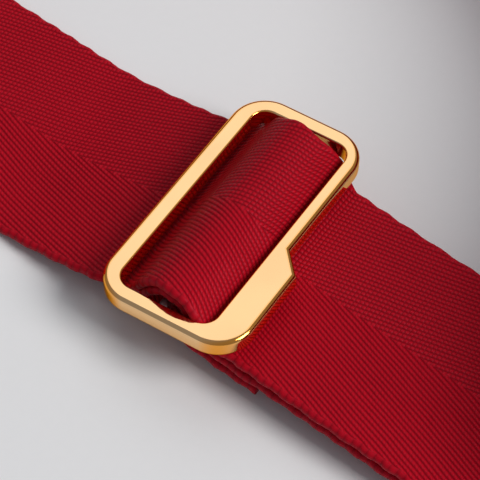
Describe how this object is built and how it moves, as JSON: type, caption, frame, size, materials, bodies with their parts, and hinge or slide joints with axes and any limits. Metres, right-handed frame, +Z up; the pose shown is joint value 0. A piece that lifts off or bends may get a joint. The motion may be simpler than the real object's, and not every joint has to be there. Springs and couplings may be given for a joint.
{
  "type": "saxophone neck strap",
  "caption": "Flat woven neck strap with a polished plate slider that adjusts its length and a swivel trigger hook for the instrument's ring.",
  "frame": {"origin": "middle of the footprint, on the surface that the strap lies on", "axes": "+X from the slider towards the hook, +Z up"},
  "size_m": [0.408, 0.1389, 0.0431],
  "materials": {
    "webbing": "woven satin",
    "thread": "sewing thread",
    "gold_plating": "mirror polished, gold plated",
    "steel": "plain"
  },
  "bodies": {
    "webbing": {"webbing_neck_run": "webbing", "webbing_slider_entry": "webbing", "webbing_upper_run": "webbing", "webbing_lower_run": "webbing", "webbing_hook_fold": "webbing", "webbing_end_loop": "webbing", "stitch_hook_end": "thread"},
    "slider": {"slider_frame": "gold_plating", "slider_centre_bar": "steel", "webbing_slider_arch": "webbing", "webbing_slider_wrap": "webbing", "stitch_slider_end": "thread"},
    "hook_plate": {"hook_plate": "gold_plating", "swivel_washer": "steel"},
    "hook": {"hook_body": "gold_plating", "swivel_rivet": "gold_plating", "gate_pin": "steel", "gate_spring": "steel"},
    "gate": {"gate": "gold_plating"}
  },
  "joints": [
    {"name": "slider_slide", "type": "slide", "parent": "webbing", "child": "slider", "axis": [1, 0, 0], "range_m": [-0.04, 0.04], "deforming": ["webbing_slider_entry", "webbing_upper_run", "webbing_lower_run"]},
    {"name": "plate_tilt", "type": "hinge", "parent": "webbing", "child": "hook_plate", "pos_m": [0.138, -0.0452, 0.0036], "axis": [0, -1, 0], "range_deg": [-40, 40], "deforming": ["webbing_hook_fold", "webbing_end_loop"]},
    {"name": "hook_swivel", "type": "hinge", "parent": "hook_plate", "child": "hook", "pos_m": [0.1656, -0.0452, 0.0036], "axis": [1, 0, 0], "continuous": true},
    {"name": "gate_hinge", "type": "hinge", "parent": "hook", "child": "gate", "pos_m": [0.1758, -0.0526, 0.0036], "axis": [0, 0, 1], "range_deg": [0, 30], "stiffness_Nm_per_rad": 0.02, "springref_deg": -28.65, "deforming": ["gate_spring"]}
  ]
}
